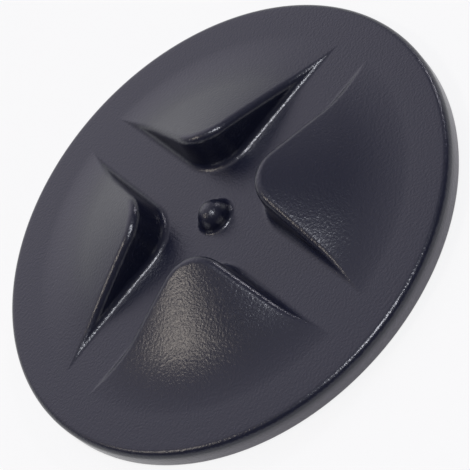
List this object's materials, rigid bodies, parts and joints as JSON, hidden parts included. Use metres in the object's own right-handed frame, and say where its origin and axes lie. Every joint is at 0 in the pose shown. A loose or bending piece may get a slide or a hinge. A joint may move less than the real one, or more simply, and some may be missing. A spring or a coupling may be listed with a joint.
{
  "type": "gas hob burner cap",
  "caption": "Round burner cap for a gas hob, pressed in dark enamelled steel, with raised sloping petals, a cross of flat channels, a small domed nub and a turned-down lip.",
  "frame": {"origin": "on the cap's axis, level with the bottom of the lip that it rests on", "axes": "+Z is the cap's axis, up out of the petalled top; the cross of channels runs along X and Y"},
  "size_m": [0.075, 0.075, 0.0092],
  "materials": {
    "enamel": "satin-gloss vitreous enamel with a fine orange-peel grain"
  },
  "bodies": {
    "root": {"burner_cap": "enamel"}
  },
  "joints": []
}
